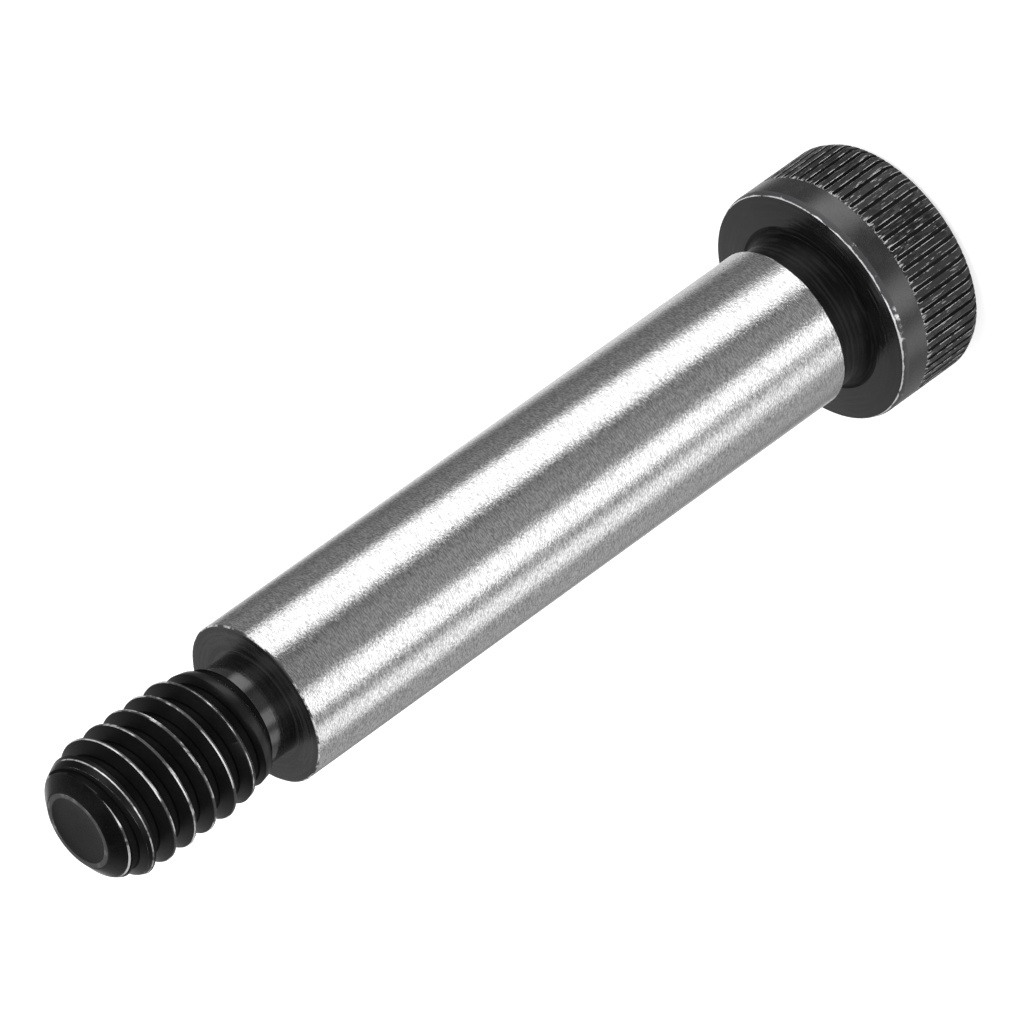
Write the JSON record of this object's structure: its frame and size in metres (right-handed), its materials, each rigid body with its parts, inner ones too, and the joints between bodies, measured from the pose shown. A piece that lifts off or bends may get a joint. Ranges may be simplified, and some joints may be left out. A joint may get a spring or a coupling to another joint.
{
  "type": "shoulder bolt",
  "caption": "Socket head shoulder bolt with a knurled head, a ground cylindrical shoulder and a shorter threaded end of smaller diameter.",
  "frame": {"origin": "centre of the head's top face, which it stands on", "axes": "+Z along the bolt's axis, from the head towards the threaded tip; +Y away from the side that the picture looks at"},
  "size_m": [0.014, 0.014, 0.0602],
  "materials": {
    "black_oxide_steel": "satin black oxide on the head, necks and thread",
    "ground_steel": "bright ground shoulder with fine circumferential grain"
  },
  "bodies": {
    "root": {"shoulder_bolt": "black_oxide_steel"}
  },
  "joints": []
}
